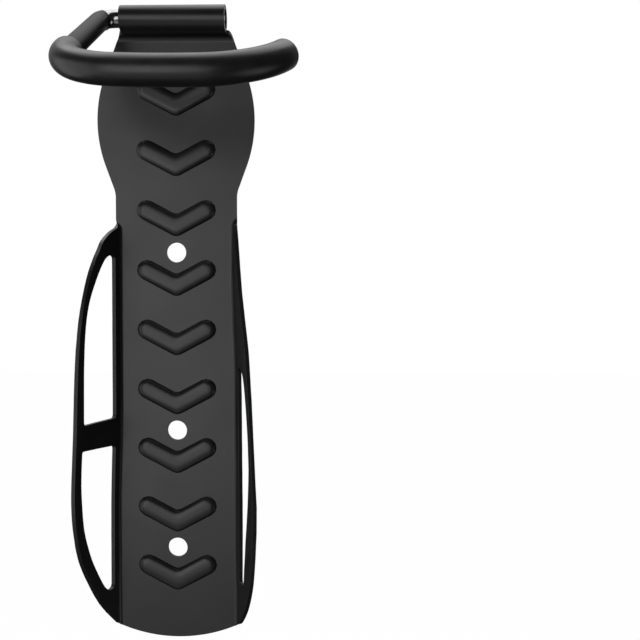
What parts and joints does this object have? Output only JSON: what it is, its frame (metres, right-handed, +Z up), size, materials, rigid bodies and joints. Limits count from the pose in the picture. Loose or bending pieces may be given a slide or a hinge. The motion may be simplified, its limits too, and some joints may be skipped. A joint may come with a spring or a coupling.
{
  "type": "bike wall rack",
  "caption": "Vertical wall rack: a pressed steel tray with raised chevrons and windowed side guards, and a sleeved rod hook that turns in a rolled knuckle to hold a front wheel.",
  "frame": {"origin": "on the back face of the tray, on its centre line, half way up the flat band between the fourth and the fifth chevron from the top", "axes": "+Z up, +Y from the rack into the wall, the front of the rack looks along -Y, and +X is to the right of a person who faces the rack"},
  "size_m": [0.1097, 0.1108, 0.3165],
  "materials": {
    "black_coat": "satin",
    "bright_plating": "polished",
    "black_tube": "satin",
    "black_rubber": "satin"
  },
  "bodies": {
    "tray": {"back_plate": "black_coat"},
    "hook": {"hook_rod": "bright_plating", "arm_coating": "black_tube", "hook_sleeve": "black_rubber"}
  },
  "joints": [
    {"name": "hook_fold", "type": "hinge", "parent": "tray", "child": "hook", "pos_m": [0, -0.0116, 0.14102], "axis": [1, 0, 0], "range_deg": [-114.7, 65.3]}
  ]
}
